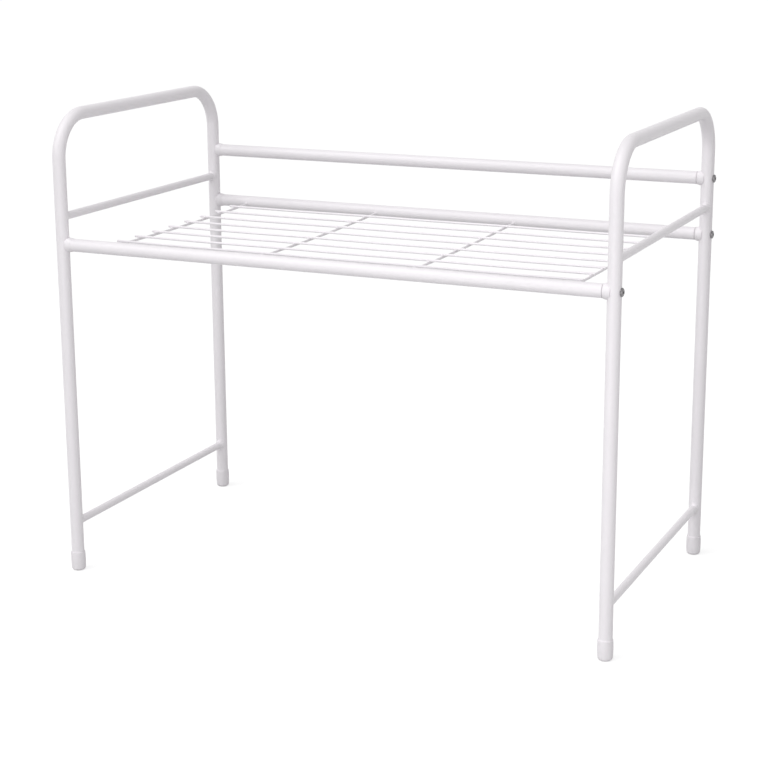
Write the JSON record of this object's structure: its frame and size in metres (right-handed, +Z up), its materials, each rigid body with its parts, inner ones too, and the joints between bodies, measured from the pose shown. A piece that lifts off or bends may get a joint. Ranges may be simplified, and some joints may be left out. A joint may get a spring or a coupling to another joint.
{
  "type": "shelf organizer",
  "caption": "Free-standing white metal counter rack: bent tube end frames, screwed tube rails, a raised wire shelf with a back guard rail and an open bay beneath.",
  "frame": {"origin": "centre of the bounding box's bottom face, on the surface that the feet stand on", "axes": "+X along the rails towards the right end frame, whose screws have button heads, -Y to the front, the guard rail at +Y, +Z up"},
  "size_m": [0.555, 0.3012, 0.45],
  "materials": {
    "powder_coat": "white powder coat with a soft gloss",
    "cap_plastic": "moulded white plastic, satin",
    "foot_plastic": "moulded white plastic, satin",
    "screw_chrome": "bright plated steel",
    "insert_steel": "plain zinc plated steel, hidden"
  },
  "bodies": {
    "root": {"left_end_frame": "powder_coat", "right_end_frame": "powder_coat", "left_upper_crossbar": "powder_coat", "left_lower_crossbar": "powder_coat", "right_upper_crossbar": "powder_coat", "right_lower_crossbar": "powder_coat", "front_shelf_rail": "powder_coat", "back_shelf_rail": "powder_coat", "back_guard_rail": "powder_coat", "cross_wire_1": "powder_coat", "cross_wire_2": "powder_coat", "cross_wire_3": "powder_coat", "cross_wire_4": "powder_coat", "shelf_wire_1": "powder_coat", "shelf_wire_2": "powder_coat", "shelf_wire_3": "powder_coat", "shelf_wire_4": "powder_coat", "shelf_wire_5": "powder_coat", "shelf_wire_6": "powder_coat", "shelf_wire_7": "powder_coat", "shelf_wire_8": "powder_coat", "front_shelf_rail_left_cap": "cap_plastic", "front_shelf_rail_right_cap": "cap_plastic", "back_shelf_rail_left_cap": "cap_plastic", "back_shelf_rail_right_cap": "cap_plastic", "back_guard_rail_left_cap": "cap_plastic", "back_guard_rail_right_cap": "cap_plastic", "front_shelf_rail_left_screw": "screw_chrome", "front_shelf_rail_right_screw": "screw_chrome", "back_shelf_rail_left_screw": "screw_chrome", "back_shelf_rail_right_screw": "screw_chrome", "back_guard_rail_left_screw": "screw_chrome", "back_guard_rail_right_screw": "screw_chrome", "front_shelf_rail_left_insert": "insert_steel", "front_shelf_rail_right_insert": "insert_steel", "back_shelf_rail_left_insert": "insert_steel", "back_shelf_rail_right_insert": "insert_steel", "back_guard_rail_left_insert": "insert_steel", "back_guard_rail_right_insert": "insert_steel", "left_front_foot": "foot_plastic", "left_back_foot": "foot_plastic", "right_front_foot": "foot_plastic", "right_back_foot": "foot_plastic"}
  },
  "joints": []
}
